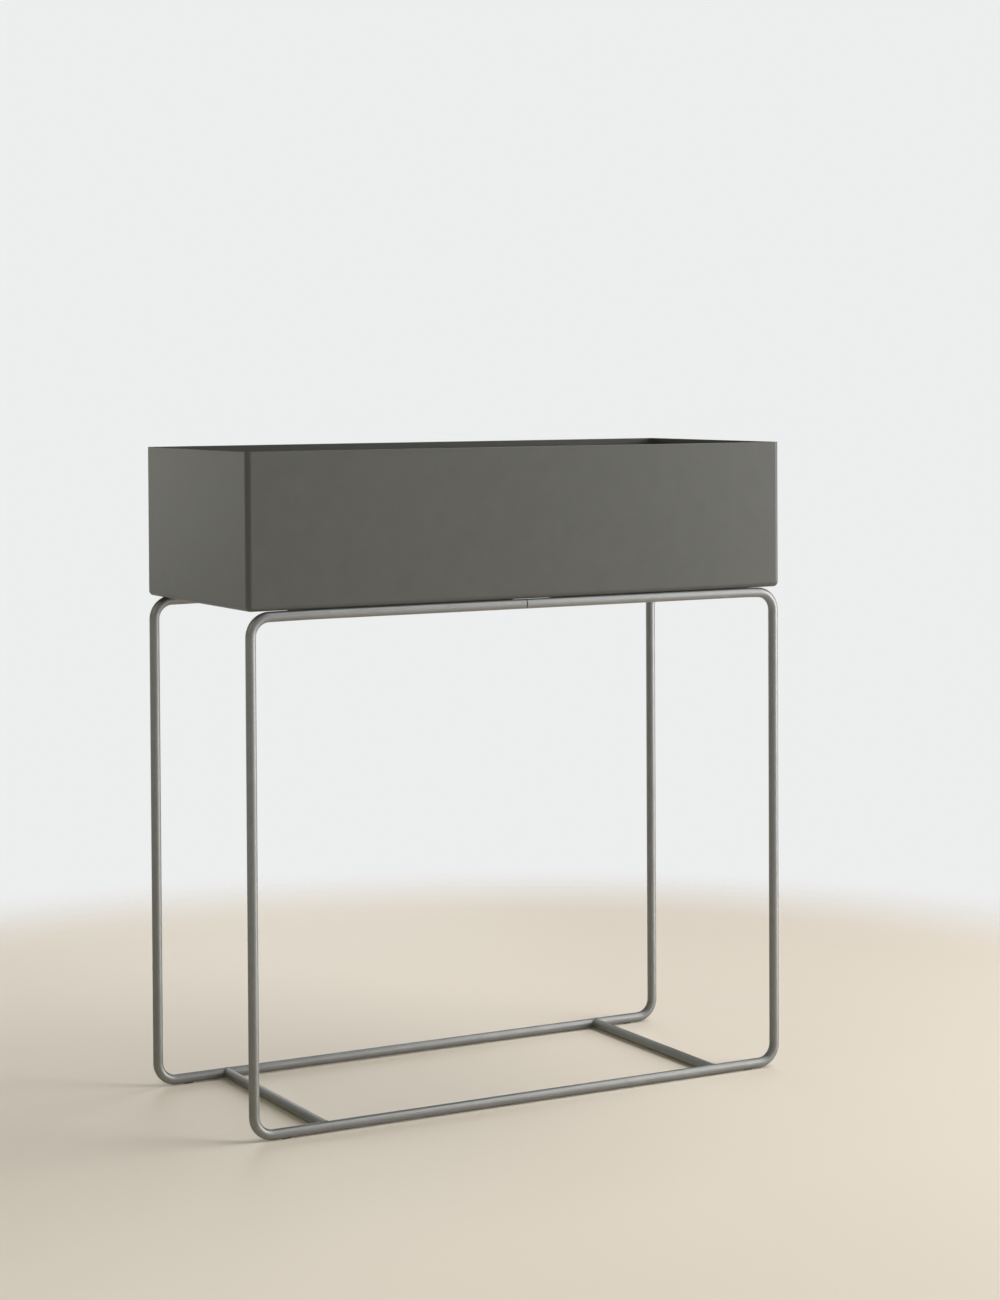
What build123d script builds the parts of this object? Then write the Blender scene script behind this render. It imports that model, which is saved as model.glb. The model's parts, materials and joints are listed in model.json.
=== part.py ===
from build123d import *
import os

# Raised planter on legs: a sheet-steel box fastened on a frame of round steel rod.
# Millimetres. +Z is up and +X runs along the box. The origin is on the floor, under the middle.

# Overall size
planter_length = 600.0
planter_width = 250.0
planter_height = 650.0
frame_height = 500.0

# Box
sheet = 1.2
box_corner_radius = 5.0
rim_rounding = 0.55

# Rod frame
rod_radius = 5.0
bend_radius = 19.0
glide_thickness = 0.5
butt_weld_width = 1.0
butt_weld_recess = 1.3
dressing_depth = 0.45
dressing_travel = 36.0
dressing_middle = 8.0
dressing_wheel_radius = 20.0
left_fall = 0.7
left_fall_start = 234.0
right_fall = 1.0
right_fall_start = 262.0
rail_fall_radius = 400.0

# Bars between the two loops
bar_place = 220.0
strip_width = 25.0
strip_thickness = 4.0
lower_bead_radius = 0.7
lower_bead_sweep = 135.0
upper_bead_radius = 3.0

# Fastening of the box, with M5 hardware
fixing_place = 80.0
thread_radius = 2.5
stud_radius = 2.45
stud_length = 12.0
stud_flange_radius = 3.25
stud_flange_height = 0.8
stud_tip_chamfer = 0.6
strip_hole_radius = 3.5
spacer_radius = 10.0
spacer_hole_radius = 4.0
spacer_thickness = 1.0
washer_radius = 5.0
washer_hole_radius = 2.65
washer_thickness = 1.0
nut_across_flats = 8.0
nut_height = 4.0
nut_chamfer = 0.6

# Floor glides
glide_place = 262.0
glide_length = 10.0
glide_width = 4.0
glide_corner_radius = 1.9

# Places that follow from the sizes above
rod_x = planter_length / 2 - rod_radius
rod_y = planter_width / 2 - rod_radius
rail_top_z = frame_height - rod_radius
rail_bottom_z = glide_thickness + rod_radius
strip_top_z = frame_height - spacer_thickness
strip_bottom_z = strip_top_z - strip_thickness
washer_bottom_z = strip_bottom_z - washer_thickness
nut_bottom_z = washer_bottom_z - nut_height

LEFT_RIGHT = (("left", -1), ("right", 1))
FRONT_REAR = (("front", -1), ("rear", 1))
FIXINGS = [(sx * bar_place, sy * fixing_place) for _, sx in LEFT_RIGHT for _, sy in FRONT_REAR]


def upright(radius, bottom, top, x=0.0, y=0.0):
    """A vertical cylinder between two heights."""
    height = top - bottom
    return Pos(x, y, bottom + height / 2) * Cylinder(radius, height)


def along_x(radius, length, x, y, z):
    """A cylinder along X, centred on a point."""
    return Pos(x, y, z) * Rot(0, 90, 0) * Cylinder(radius, length)


def along_y(radius, length, x, y, z):
    """A cylinder along Y, centred on a point."""
    return Pos(x, y, z) * Rot(90, 0, 0) * Cylinder(radius, length)


def straight_rails(z):
    """The straight front and rear rails at one height, to cope other pieces against."""
    return [along_x(rod_radius, planter_length, 0, sy * rod_y, z) for _, sy in FRONT_REAR]


def planter_box():
    """Open tub with rounded folds and a lightly rounded rim."""
    outer_height = planter_height - frame_height
    middle_z = frame_height + outer_height / 2
    outer = Pos(0, 0, middle_z) * Box(planter_length, planter_width, outer_height)
    outer = fillet(outer.edges().filter_by(Axis.Z), box_corner_radius)
    outer = fillet(outer.faces().sort_by(Axis.Z)[0].edges(), box_corner_radius)
    inner = Pos(0, 0, middle_z + sheet) * Box(
        planter_length - 2 * sheet, planter_width - 2 * sheet, outer_height
    )
    inner_radius = box_corner_radius - sheet
    inner = fillet(inner.edges().filter_by(Axis.Z), inner_radius)
    inner = fillet(inner.faces().sort_by(Axis.Z)[0].edges(), inner_radius)
    tub = outer - inner
    rim = tub.faces().filter_by(Axis.Z).sort_by(Axis.Z)[-1]
    return fillet(rim.edges(), rim_rounding)


def dressing_cutter(y):
    """The path of the grinding wheel that dressed the weld and left a shallow flat on the crown."""
    path = Plane.XZ * SlotCenterToCenter(dressing_travel, 2 * dressing_wheel_radius)
    wheel_z = frame_height - dressing_depth + dressing_wheel_radius
    return Pos(dressing_middle, y, wheel_z) * extrude(path, 2 * rod_radius, both=True)


def frame_loop(y):
    """One rod bent into an upright rectangle, open by the width of its butt weld.

    The top rail is level under the box and falls a little towards its two bends.
    """
    start = butt_weld_width / 2
    bends = [
        (right_fall_start, rail_top_z, rail_fall_radius),
        (rod_x, rail_top_z - right_fall, bend_radius),
        (rod_x, rail_bottom_z, bend_radius),
        (-rod_x, rail_bottom_z, bend_radius),
        (-rod_x, rail_top_z - left_fall, bend_radius),
        (-left_fall_start, rail_top_z, rail_fall_radius),
    ]
    points = [(start, y, rail_top_z)] + [(x, y, z) for x, z, _ in bends] + [(-start, y, rail_top_z)]
    path = FilletPolyline(*points, radius=[radius for _, _, radius in bends])
    section = Plane(origin=path @ 0, z_dir=(1, 0, 0)) * Circle(rod_radius)
    return sweep(section, path=path) - dressing_cutter(y)


def butt_weld(y):
    """The disc of weld metal that joins the rod's two ends, deep in the fine seam between them."""
    disc = along_x(rod_radius - butt_weld_recess, butt_weld_width, 0, y, rail_top_z)
    return disc - dressing_cutter(y)


def lower_cross_bar(x):
    """A rod between the bottom rails, coped to them."""
    return along_y(rod_radius, 2 * rod_y, x, 0, rail_bottom_z) - straight_rails(rail_bottom_z)


def lower_weld(x, sy):
    """A fine bead where a cross bar meets a bottom rail, from the crown round both sides.

    Two equal rods that cross squarely meet along a half ellipse in a plane at 45 degrees.
    The bead stops above the underside, so that the frame sits on its glides alone.
    """
    halves = []
    for _, sx in LEFT_RIGHT:
        diagonal = Plane(
            origin=(x, sy * rod_y, rail_bottom_z), x_dir=(sx, -sy, 0), z_dir=(-sy, -sx, 0)
        )
        arc = EllipticalCenterArc(
            (0, 0), rod_radius * 2**0.5, rod_radius, start_angle=90, arc_size=-lower_bead_sweep
        )
        path = diagonal * arc
        halves.append(sweep(Plane(path @ 0, z_dir=path % 0) * Circle(lower_bead_radius), path=path))
    bead = halves[0] + halves[1]
    crossing = along_y(rod_radius, 8 * rod_radius, x, sy * rod_y, rail_bottom_z)
    return bead - straight_rails(rail_bottom_z) - crossing


def mounting_bar(x):
    """A flat strip between the top rails, coped to them, with two clearance holes."""
    strip = Pos(x, 0, strip_bottom_z + strip_thickness / 2) * Box(
        strip_width, 2 * rod_y, strip_thickness
    )
    holes = [
        upright(strip_hole_radius, strip_bottom_z - 1, strip_top_z + 1, x, sy * fixing_place)
        for _, sy in FRONT_REAR
    ]
    return strip - straight_rails(rail_top_z) - holes


def upper_weld(x, sy):
    """A fillet bead under the end of a mounting bar."""
    edge_y = sy * (rod_y - rod_radius)
    bead = along_x(upper_bead_radius, strip_width, x, edge_y, strip_bottom_z)
    above = Pos(x, edge_y, strip_bottom_z + upper_bead_radius) * Box(
        2 * strip_width, 4 * upper_bead_radius, 2 * upper_bead_radius
    )
    return bead - above - straight_rails(rail_top_z)


def rubber_spacer(x, y):
    return upright(spacer_radius, strip_top_z, frame_height, x, y) - upright(
        spacer_hole_radius, strip_top_z - 1, frame_height + 1, x, y
    )


def mounting_stud(x, y):
    """A weld stud with a small flange against the tub and a chamfered tip."""
    flange = upright(stud_flange_radius, frame_height - stud_flange_height, frame_height, x, y)
    shank = upright(stud_radius, frame_height - stud_length, frame_height, x, y)
    shank = chamfer(shank.edges().sort_by(Axis.Z)[0], stud_tip_chamfer)
    return flange + shank


def washer(x, y):
    return upright(washer_radius, washer_bottom_z, strip_bottom_z, x, y) - upright(
        washer_hole_radius, washer_bottom_z - 1, strip_bottom_z + 1, x, y
    )


def nut(x, y):
    """A hexagon nut whose corners are chamfered on both faces."""
    corner_radius = nut_across_flats / 3**0.5
    hexagon = extrude(RegularPolygon(corner_radius, 6), nut_height)
    blank = Pos(0, 0, nut_height / 2) * Cylinder(corner_radius, nut_height)
    blank = chamfer(blank.edges().filter_by(GeomType.CIRCLE), nut_chamfer / 2, nut_chamfer)
    bore = upright(thread_radius, -1, nut_height + 1)
    return Pos(x, y, nut_bottom_z) * ((hexagon & blank) - bore)


def floor_glide(x, y):
    """A thin moulded pad whose top is hollowed to the rod."""
    rod_rise = rod_radius - (rod_radius**2 - (glide_width / 2) ** 2) ** 0.5
    outline = RectangleRounded(glide_length, glide_width, glide_corner_radius)
    pad = Pos(x, y, 0) * extrude(outline, glide_thickness + rod_rise)
    return pad - along_x(rod_radius, 2 * glide_length, x, y, rail_bottom_z)


def save(name, shape):
    export_step(shape, f"parts/{name}.step")


os.makedirs("parts", exist_ok=True)

save("planter_box", planter_box())

for place, sy in FRONT_REAR:
    save(f"{place}_frame_loop", frame_loop(sy * rod_y))
    save(f"{place}_loop_butt_weld", butt_weld(sy * rod_y))

for side, sx in LEFT_RIGHT:
    save(f"lower_cross_bar_{side}", lower_cross_bar(sx * bar_place))
    save(f"upper_mounting_bar_{side}", mounting_bar(sx * bar_place))

bar_ends = [(sx * bar_place, sy) for _, sx in LEFT_RIGHT for _, sy in FRONT_REAR]
save("lower_cross_bar_welds", Compound(children=[lower_weld(x, sy) for x, sy in bar_ends]))
save("upper_mounting_bar_welds", Compound(children=[upper_weld(x, sy) for x, sy in bar_ends]))

save("box_mounting_studs", Compound(children=[mounting_stud(x, y) for x, y in FIXINGS]))
save("stud_washers", Compound(children=[washer(x, y) for x, y in FIXINGS]))
save("stud_nuts", Compound(children=[nut(x, y) for x, y in FIXINGS]))

for side, sx in LEFT_RIGHT:
    for place, sy in FRONT_REAR:
        save(f"rubber_spacer_{place}_{side}", rubber_spacer(sx * bar_place, sy * fixing_place))
        save(f"floor_glide_{place}_{side}", floor_glide(sx * glide_place, sy * rod_y))
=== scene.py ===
import json
import math

import bmesh
import bpy
from mathutils import Matrix, Vector


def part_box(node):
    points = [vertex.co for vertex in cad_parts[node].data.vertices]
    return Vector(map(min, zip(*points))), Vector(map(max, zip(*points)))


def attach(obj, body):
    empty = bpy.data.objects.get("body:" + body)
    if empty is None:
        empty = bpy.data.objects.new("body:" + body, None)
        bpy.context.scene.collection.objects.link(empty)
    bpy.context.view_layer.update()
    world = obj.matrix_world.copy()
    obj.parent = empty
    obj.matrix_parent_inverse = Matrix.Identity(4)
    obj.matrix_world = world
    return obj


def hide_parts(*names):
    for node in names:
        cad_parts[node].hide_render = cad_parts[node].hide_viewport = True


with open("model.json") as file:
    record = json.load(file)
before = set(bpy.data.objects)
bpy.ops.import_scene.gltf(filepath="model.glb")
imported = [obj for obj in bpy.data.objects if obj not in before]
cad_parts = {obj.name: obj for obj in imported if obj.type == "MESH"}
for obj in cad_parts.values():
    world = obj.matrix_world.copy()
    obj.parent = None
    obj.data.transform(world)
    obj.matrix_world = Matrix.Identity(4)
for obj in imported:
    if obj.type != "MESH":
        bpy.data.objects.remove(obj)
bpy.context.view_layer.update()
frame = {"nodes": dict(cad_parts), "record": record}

# ---------------------------------------------------------------- sizes, in metres
MM = 0.001
X, Y, Z = 0, 1, 2
SIDES = ("left", "right")
PLACES = ("front", "rear")


def span(node, axis):
    """Where a CAD node begins and ends along an axis."""
    low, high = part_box(node)
    return low[axis], high[axis]


def middle(node, axis):
    """The middle of a CAD node along an axis."""
    return sum(span(node, axis)) / 2


bar_left, bar_right = span("lower_cross_bar_left", X)
ROD_RADIUS = (bar_right - bar_left) / 2
LOWER_BAR_Z = middle("lower_cross_bar_left", Z)
STRIP_BOTTOM = span("upper_mounting_bar_left", Z)[0]
strip_left, strip_right = span("upper_mounting_bar_left", X)
STRIP_WIDTH = strip_right - strip_left
RAIL_Y = {place: middle(f"{place}_frame_loop", Y) for place in PLACES}
LOWER_BAR_X = {side: middle(f"lower_cross_bar_{side}", X) for side in SIDES}
STRIP_X = {side: middle(f"upper_mounting_bar_{side}", X) for side in SIDES}
STUD_TIP, STUD_TOP = span("box_mounting_studs", Z)
FIXINGS = {
    (place, side): (
        middle(f"rubber_spacer_{place}_{side}", X),
        middle(f"rubber_spacer_{place}_{side}", Y),
    )
    for place in PLACES
    for side in SIDES
}

# Weld beads, which stand for the CAD model's plainer ones
LOWER_BEAD_RADIUS = 0.68 * MM
LOWER_BEAD_SWEEP = math.radians(130)
LOWER_BEAD_CORNER = 0.5 * MM
LOWER_BEAD_STRETCH = 1.2  # how much longer its path is than an arc round the bar
CROWN_TILT = 0.2  # tilts the bead's outward direction a little upwards
UPPER_BEAD_RADIUS = 2.8 * MM
UPPER_BEAD_INSET = 0.3 * MM
BEAD_FACETS = 20
BEAD_END_RADIUS = 0.02  # the smallest ring at a bead's end, as a part of its radius
PATH_STEP = 0.002  # the part of a bead's path over which its direction is taken
RIPPLE_PITCH = 0.42  # as a part of the bead's radius
RIPPLE_DEPTH = 0.07
RINGS_PER_RIPPLE = 5

# M5 coarse thread of the weld studs
THREAD_PITCH = 0.8 * MM
THREAD_CREST = 2.45 * MM
THREAD_ROOT = 2.05 * MM
STUD_TIP_RADIUS = 1.75 * MM
FLANGE_RADIUS = 3.25 * MM
FLANGE_HEIGHT = 0.8 * MM
FLANK_STEEPNESS = 1.3
FLANK_START = 0.15
THREAD_FACETS = 40
ROWS_PER_TURN = 10
SHARP_EDGE = math.radians(40)


# ---------------------------------------------------------------- materials
NOISE_LOW, NOISE_HIGH = 0.3, 0.7
TONE_SPREAD = 0.04
ROUGHNESS_SPREAD = 0.03
ZINC_DARK, ZINC_LIGHT = (0.50, 0.51, 0.50), (0.66, 0.67, 0.68)
RUBBER_DARK, RUBBER_LIGHT = (0.055, 0.055, 0.053), (0.075, 0.074, 0.072)


def new_material(name):
    """A node material with its Principled shader."""
    material = bpy.data.materials.new(name)
    material.use_nodes = True
    nodes = material.node_tree.nodes
    return material, nodes, material.node_tree.links, nodes["Principled BSDF"]


def object_space(nodes):
    """The object's own coordinates, so that a pattern stays on its piece."""
    return nodes.new("ShaderNodeTexCoord").outputs["Object"]


def noise(nodes, links, vector, scale, detail):
    """A noise texture. Scale is features per metre."""
    texture = nodes.new("ShaderNodeTexNoise")
    texture.inputs["Scale"].default_value = scale
    texture.inputs["Detail"].default_value = detail
    links.new(vector, texture.inputs["Vector"])
    return texture.outputs["Fac"]


def remap(nodes, links, value, low, high):
    """The range in which noise mostly lies, spread from low to high."""
    node = nodes.new("ShaderNodeMapRange")
    node.inputs["From Min"].default_value = NOISE_LOW
    node.inputs["From Max"].default_value = NOISE_HIGH
    node.inputs["To Min"].default_value = low
    node.inputs["To Max"].default_value = high
    links.new(value, node.inputs["Value"])
    return node.outputs["Result"]


def mix_colours(nodes, links, factor, first, second):
    """The first colour where the factor is 0, the second where it is 1."""
    node = nodes.new("ShaderNodeMix")
    node.data_type = "RGBA"
    links.new(factor, node.inputs["Factor"])
    node.inputs["A"].default_value = (*first, 1)
    node.inputs["B"].default_value = (*second, 1)
    return node.outputs["Result"]


def bump(nodes, links, height, distance, strength, below=None):
    """A normal tilted by a height, over another bump's normal where one is given."""
    node = nodes.new("ShaderNodeBump")
    node.inputs["Distance"].default_value = distance
    node.inputs["Strength"].default_value = strength
    links.new(height, node.inputs["Height"])
    if below is not None:
        links.new(below, node.inputs["Normal"])
    return node.outputs["Normal"]


def powder_coat(name, colour, roughness, metallic):
    """Powder coat: faint mottling, fine grain and the low orange peel of baked paint."""
    material, nodes, links, shader = new_material(name)
    place = object_space(nodes)
    mottle = noise(nodes, links, place, scale=60, detail=4)
    peel = noise(nodes, links, place, scale=420, detail=2)
    grain = noise(nodes, links, place, scale=2200, detail=2)
    darker = [channel * (1 - TONE_SPREAD) for channel in colour]
    lighter = [channel * (1 + TONE_SPREAD) for channel in colour]
    tone = mix_colours(nodes, links, remap(nodes, links, mottle, 0, 1), darker, lighter)
    links.new(tone, shader.inputs["Base Color"])
    smoothest, roughest = roughness - ROUGHNESS_SPREAD, roughness + ROUGHNESS_SPREAD
    links.new(remap(nodes, links, grain, smoothest, roughest), shader.inputs["Roughness"])
    soft = bump(nodes, links, peel, distance=0.12 * MM, strength=0.08)
    fine = bump(nodes, links, grain, distance=0.03 * MM, strength=0.12, below=soft)
    links.new(fine, shader.inputs["Normal"])
    shader.inputs["Metallic"].default_value = metallic
    return material


def zinc(name):
    """Bright zinc plating with fine cloudy variation."""
    material, nodes, links, shader = new_material(name)
    place = object_space(nodes)
    cloud = noise(nodes, links, place, scale=700, detail=4)
    tone = mix_colours(nodes, links, remap(nodes, links, cloud, 0, 1), ZINC_DARK, ZINC_LIGHT)
    links.new(tone, shader.inputs["Base Color"])
    links.new(remap(nodes, links, cloud, low=0.28, high=0.42), shader.inputs["Roughness"])
    links.new(bump(nodes, links, cloud, distance=0.05 * MM, strength=0.3), shader.inputs["Normal"])
    shader.inputs["Metallic"].default_value = 1.0
    return material


def rubber(name):
    """Dark moulded rubber with a fine grain."""
    material, nodes, links, shader = new_material(name)
    place = object_space(nodes)
    grain = noise(nodes, links, place, scale=1500, detail=3)
    tone = mix_colours(nodes, links, remap(nodes, links, grain, 0, 1), RUBBER_DARK, RUBBER_LIGHT)
    links.new(tone, shader.inputs["Base Color"])
    links.new(remap(nodes, links, grain, low=0.72, high=0.88), shader.inputs["Roughness"])
    links.new(bump(nodes, links, grain, distance=0.1 * MM, strength=0.4), shader.inputs["Normal"])
    return material


FINISHES = {
    "box_coat": powder_coat("box_powder_coat", (0.074, 0.073, 0.062), roughness=0.40, metallic=0.0),
    "frame_coat": powder_coat(
        "frame_powder_coat", (0.270, 0.272, 0.264), roughness=0.50, metallic=0.9
    ),
    "zinc_steel": zinc("zinc_plated_steel"),
    "black_rubber": rubber("black_moulded_rubber"),
}

for part in frame["record"]["subparts"]:
    slots = frame["nodes"][part["node"]].data.materials
    slots.clear()
    slots.append(FINISHES[part["material_slot"]])


# ---------------------------------------------------------------- detailed pieces
def new_piece(name, form, finish, node):
    """A mesh piece that takes a slot's finish and stands for a CAD node."""
    mesh = bpy.data.meshes.new(name)
    bmesh.ops.recalc_face_normals(form, faces=form.faces)
    form.to_mesh(mesh)
    form.free()
    for face in mesh.polygons:
        face.use_smooth = True
    mesh.materials.append(FINISHES[finish])
    piece = bpy.data.objects.new(name, mesh)
    bpy.context.scene.collection.objects.link(piece)
    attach(piece, "root")
    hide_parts(node)
    return piece


def skin(form, rings):
    """Closes a stack of rings of points into one solid."""
    loops = [[form.verts.new(point) for point in ring] for ring in rings]
    count = len(loops[0])
    for lower, upper in zip(loops, loops[1:]):
        for i in range(count):
            j = (i + 1) % count
            form.faces.new((lower[i], lower[j], upper[j], upper[i]))
    form.faces.new(reversed(loops[0]))
    form.faces.new(loops[-1])


def rippled_bead(form, path, length, radius, outward):
    """A weld bead along path(0..1): round ends and the overlapping ripples of a hand-laid weld.

    outward(0..1) points away from the joint. The ripples trail behind along the bead's sides.
    """
    ripple_pitch = RIPPLE_PITCH * radius
    steps = math.ceil(length / (ripple_pitch / RINGS_PER_RIPPLE))
    rings = []
    for step in range(steps + 1):
        along = step / steps
        here = Vector(path(along))
        ahead = Vector(path(min(1, along + PATH_STEP)))
        behind = Vector(path(max(0, along - PATH_STEP)))
        tangent = (ahead - behind).normalized()
        side = tangent.cross(Vector(outward(along))).normalized()
        out = side.cross(tangent)
        to_end = min(along, 1 - along) * length
        taper = math.sqrt(max(BEAD_END_RADIUS**2, 1 - max(0, 1 - to_end / radius) ** 2))
        ring = []
        for i in range(BEAD_FACETS):
            turn = 2 * math.pi * i / BEAD_FACETS
            lag = 0.5 * (1 - math.cos(turn))
            wave = abs(math.sin(math.pi * (along * length / ripple_pitch - lag)))
            reach = radius * taper * (1 - RIPPLE_DEPTH * (1 - wave))
            ring.append(here + out * (reach * math.cos(turn)) + side * (reach * math.sin(turn)))
        rings.append(ring)
    skin(form, rings)


def lower_weld(place, side):
    """The fine bead round a coped cross bar, from one side over the crown to the other.

    Two equal rods cross along a half ellipse: the bead stays at one radius from both axes.
    On the crown, where the two halves of the joint meet in a corner, the bead rounds it.
    """
    bar_x, rail_y = LOWER_BAR_X[side], RAIL_Y[place]
    inward = -1 if rail_y > 0 else 1
    form = bmesh.new()

    def path(along):
        turn = (2 * along - 1) * LOWER_BEAD_SWEEP
        across = ROD_RADIUS * math.sin(turn)
        reach = math.hypot(across, LOWER_BEAD_CORNER)
        rise = ROD_RADIUS * math.cos(turn)
        return (bar_x + across, rail_y + inward * reach, LOWER_BAR_Z + rise)

    def outward(along):
        turn = (2 * along - 1) * LOWER_BEAD_SWEEP
        return (math.sin(turn), inward * abs(math.sin(turn)), math.cos(turn) + CROWN_TILT)

    length = 2 * LOWER_BEAD_SWEEP * ROD_RADIUS * LOWER_BEAD_STRETCH
    rippled_bead(form, path, length, LOWER_BEAD_RADIUS, outward)
    new_piece(f"lower_weld_{place}_{side}", form, "frame_coat", "lower_cross_bar_welds")


def upper_weld(place, side):
    """The fillet bead under the end of a mounting bar."""
    inward = -1 if RAIL_Y[place] > 0 else 1
    edge_y = RAIL_Y[place] + inward * ROD_RADIUS
    reach = STRIP_WIDTH / 2 - UPPER_BEAD_INSET
    form = bmesh.new()

    def path(along):
        return (STRIP_X[side] - reach + 2 * reach * along, edge_y, STRIP_BOTTOM)

    rippled_bead(form, path, 2 * reach, UPPER_BEAD_RADIUS, lambda along: (0, inward, -1))
    new_piece(f"upper_weld_{place}_{side}", form, "frame_coat", "upper_mounting_bar_welds")


def threaded_stud(place, side):
    """A weld stud: a flange against the tub and an M5 thread cut down to a chamfered tip."""
    x, y = FIXINGS[place, side]
    turns = [2 * math.pi * i / THREAD_FACETS for i in range(THREAD_FACETS)]
    flange_z = STUD_TOP - FLANGE_HEIGHT
    rows = math.ceil((flange_z - STUD_TIP) / THREAD_PITCH * ROWS_PER_TURN)
    rings = []
    for row in range(rows + 1):
        z = STUD_TIP + (flange_z - STUD_TIP) * row / rows
        ring = []
        for i, turn in enumerate(turns):
            phase = (z / THREAD_PITCH - i / THREAD_FACETS) % 1
            flank = min(1, max(0, (1 - abs(2 * phase - 1)) * FLANK_STEEPNESS - FLANK_START))
            radius = THREAD_ROOT + (THREAD_CREST - THREAD_ROOT) * flank
            radius = min(radius, STUD_TIP_RADIUS + z - STUD_TIP)
            ring.append((x + radius * math.cos(turn), y + radius * math.sin(turn), z))
        rings.append(ring)
    for z in (flange_z, STUD_TOP):
        rings.append(
            [
                (x + FLANGE_RADIUS * math.cos(turn), y + FLANGE_RADIUS * math.sin(turn), z)
                for turn in turns
            ]
        )
    form = bmesh.new()
    skin(form, rings)
    piece = new_piece(f"threaded_stud_{place}_{side}", form, "zinc_steel", "box_mounting_studs")
    piece.data.set_sharp_from_angle(angle=SHARP_EDGE)


for place in PLACES:
    for side in SIDES:
        lower_weld(place, side)
        upper_weld(place, side)
        threaded_stud(place, side)


# ---------------------------------------------------------------- studio
FLOOR_RADIUS = 1.3
FLOOR_FADE_START = 0.85
FLOOR_FADE_END = 1.25
FLOOR_SEGMENTS = 96
FLOOR_ROUGHNESS = 0.6
AIM = Vector((0, 0, 0.35))
SOFTBOX_DISTANCE = 3.0
WHITE = (1, 1, 1)
PALE_YELLOW = (1.0, 1.0, 0.88)
YELLOW = (1.0, 1.0, 0.75)
CAMERA_PLACE = Vector((-1.34896, -2.51609, 0.71741))
CAMERA_YAW = math.radians(-28.88)
CAMERA_PITCH = math.radians(1.475)
CAMERA_ROLL = math.radians(-0.312)
SENSOR_WIDTH_MM = 36
FOCAL_LENGTH_MM = 77.33
CAMERA_SHIFT_Y = -0.1538
CAMERA_REACH = 100


def studio_floor(colour):
    """A pale floor under and around the planter, which clears to the backdrop at its edge."""
    mesh = bpy.data.meshes.new("floor")
    floor = bpy.data.objects.new("floor", mesh)
    bpy.context.scene.collection.objects.link(floor)
    form = bmesh.new()
    bmesh.ops.create_circle(form, cap_ends=True, segments=FLOOR_SEGMENTS, radius=FLOOR_RADIUS)
    form.to_mesh(mesh)
    form.free()
    material, nodes, links, shader = new_material("floor")
    place = object_space(nodes)
    distance = nodes.new("ShaderNodeVectorMath")
    distance.operation = "LENGTH"
    links.new(place, distance.inputs[0])
    fade = nodes.new("ShaderNodeMapRange")
    fade.interpolation_type = "SMOOTHSTEP"
    fade.inputs["From Min"].default_value = FLOOR_FADE_START
    fade.inputs["From Max"].default_value = FLOOR_FADE_END
    links.new(distance.outputs["Value"], fade.inputs["Value"])
    shader.inputs["Base Color"].default_value = (*colour, 1)
    shader.inputs["Roughness"].default_value = FLOOR_ROUGHNESS
    clear = nodes.new("ShaderNodeBsdfTransparent")
    edge = nodes.new("ShaderNodeMixShader")
    links.new(fade.outputs["Result"], edge.inputs["Fac"])
    links.new(shader.outputs["BSDF"], edge.inputs[1])
    links.new(clear.outputs["BSDF"], edge.inputs[2])
    links.new(edge.outputs["Shader"], nodes["Material Output"].inputs["Surface"])
    mesh.materials.append(material)


def softbox(name, azimuth, elevation, width, height, power, colour=WHITE):
    """A rectangular area light on a sphere round the planter, aimed at its middle.

    Azimuth is in degrees from +X towards +Y, so 270 is straight in front. Elevation is in
    degrees, width and height are in metres and power is in watts.
    """
    data = bpy.data.lights.new(name, "AREA")
    data.shape = "RECTANGLE"
    data.size, data.size_y = width, height
    data.energy = power
    data.color = colour
    light = bpy.data.objects.new(name, data)
    bpy.context.scene.collection.objects.link(light)
    turn, rise = math.radians(azimuth), math.radians(elevation)
    level = Vector((math.cos(turn), math.sin(turn), 0)) * math.cos(rise)
    away = (level + Vector((0, 0, math.sin(rise)))) * SOFTBOX_DISTANCE
    light.location = AIM + away
    light.rotation_euler = (-away).to_track_quat("-Z", "Y").to_euler()
    light.visible_camera = False


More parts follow.
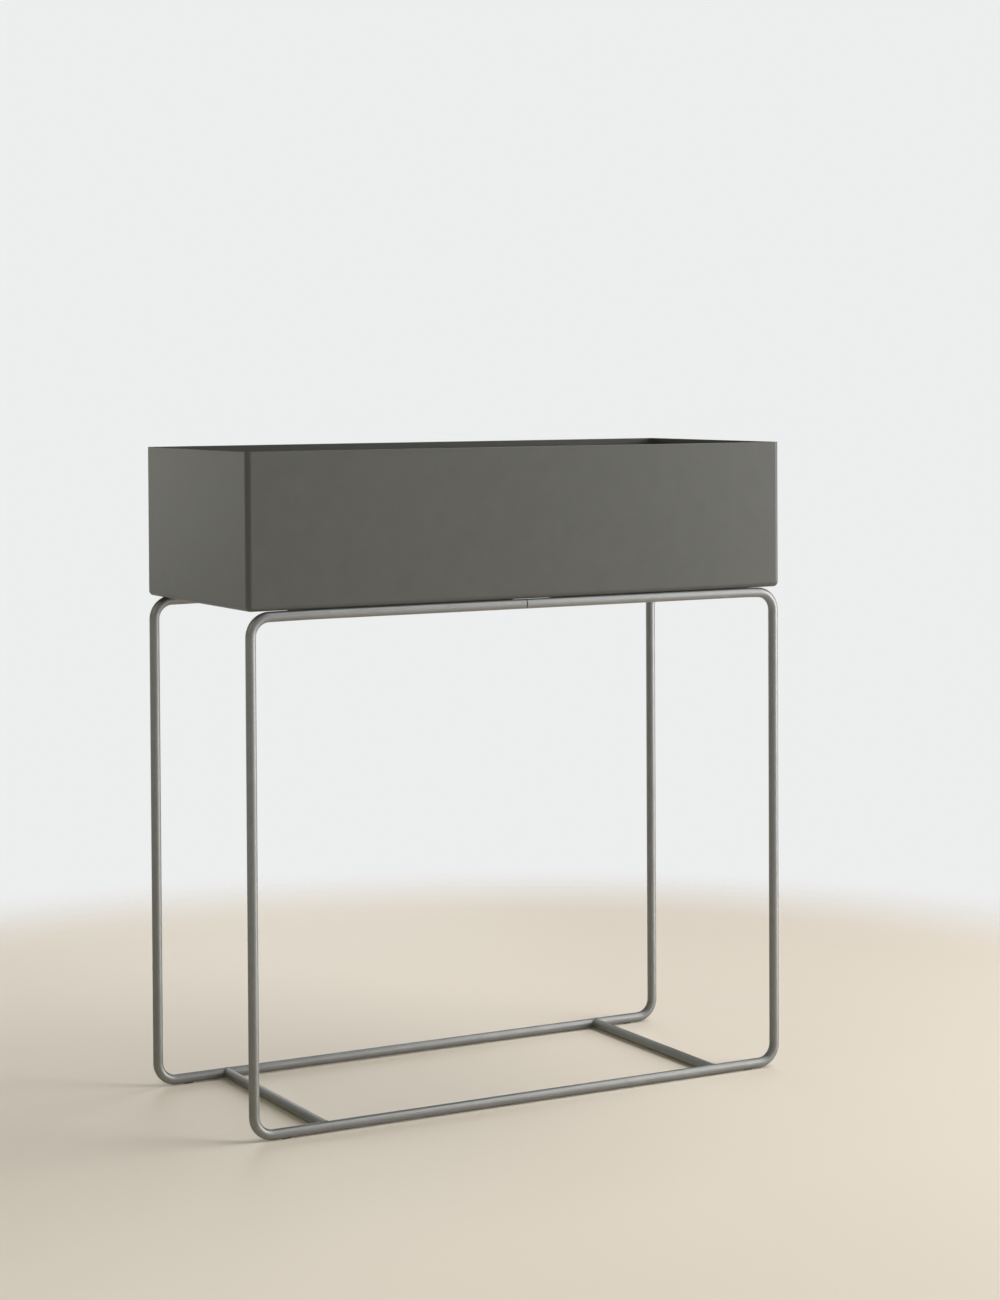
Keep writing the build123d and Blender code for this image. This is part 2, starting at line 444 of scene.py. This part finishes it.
def surround(backdrop, low_fill):
    """A pale backdrop that only camera rays see, and a fill of light from below the horizon."""
    world = bpy.data.worlds.new("surround")
    bpy.context.scene.world = world
    world.use_nodes = True
    nodes, links = world.node_tree.nodes, world.node_tree.links
    seen = nodes["Background"]
    seen.inputs["Color"].default_value = (*backdrop, 1)
    fill = nodes.new("ShaderNodeBackground")
    fill.inputs["Color"].default_value = (*low_fill, 1)
    height = nodes.new("ShaderNodeSeparateXYZ")
    links.new(nodes.new("ShaderNodeTexCoord").outputs["Generated"], height.inputs["Vector"])
    below = nodes.new("ShaderNodeMath")
    below.operation = "LESS_THAN"
    below.inputs[1].default_value = 0
    links.new(height.outputs["Z"], below.inputs[0])
    links.new(below.outputs["Value"], fill.inputs["Strength"])
    choose = nodes.new("ShaderNodeMixShader")
    links.new(nodes.new("ShaderNodeLightPath").outputs["Is Camera Ray"], choose.inputs["Fac"])
    links.new(fill.outputs["Background"], choose.inputs[1])
    links.new(seen.outputs["Background"], choose.inputs[2])
    links.new(choose.outputs["Shader"], nodes["World Output"].inputs["Surface"])


def camera():
    """The camera stands left of the front, a little above the rim, and looks almost level."""
    forward_level = Vector((-math.sin(CAMERA_YAW), math.cos(CAMERA_YAW), 0))
    right_level = Vector((math.cos(CAMERA_YAW), math.sin(CAMERA_YAW), 0))
    forward = forward_level * math.cos(CAMERA_PITCH) - Vector((0, 0, math.sin(CAMERA_PITCH)))
    up_level = forward_level * math.sin(CAMERA_PITCH) + Vector((0, 0, math.cos(CAMERA_PITCH)))
    right = right_level * math.cos(CAMERA_ROLL) + up_level * math.sin(CAMERA_ROLL)
    up = up_level * math.cos(CAMERA_ROLL) - right_level * math.sin(CAMERA_ROLL)
    data = bpy.data.cameras.new("camera")
    data.sensor_width = SENSOR_WIDTH_MM
    data.lens = FOCAL_LENGTH_MM
    data.shift_y = CAMERA_SHIFT_Y
    data.clip_end = CAMERA_REACH
    view = bpy.data.objects.new("camera", data)
    bpy.context.scene.collection.objects.link(view)
    turn = Matrix((right, up, -forward)).transposed()
    view.matrix_world = Matrix.Translation(CAMERA_PLACE) @ turn.to_4x4()
    bpy.context.scene.camera = view


bpy.context.scene.view_settings.view_transform = "Standard"
studio_floor(colour=(0.90, 0.81, 0.69))
surround(backdrop=(0.847, 0.856, 0.86), low_fill=(0.67, 0.67, 0.65))
softbox("low_front", 285, 5, 0.9, 1.1, 4)
softbox("low_right", 330, 8, 1.6, 2.0, 71)
softbox("middle_front", 318, 30, 1.2, 1.2, 13)
softbox("high_front", 326, 55, 1.6, 1.2, 22)
softbox("high_right", 15, 57, 1.6, 1.2, 24)
softbox("back_right", 75, 10, 1.6, 1.1, 15)
softbox("back", 105, 10, 1.6, 1.1, 7, PALE_YELLOW)
softbox("left", 180, 32, 2.2, 1.3, 14, YELLOW)
softbox("front_left", 240, 32, 2.2, 1.3, 8)
softbox("overhead", 330, 88, 2.4, 2.4, 6)
camera()
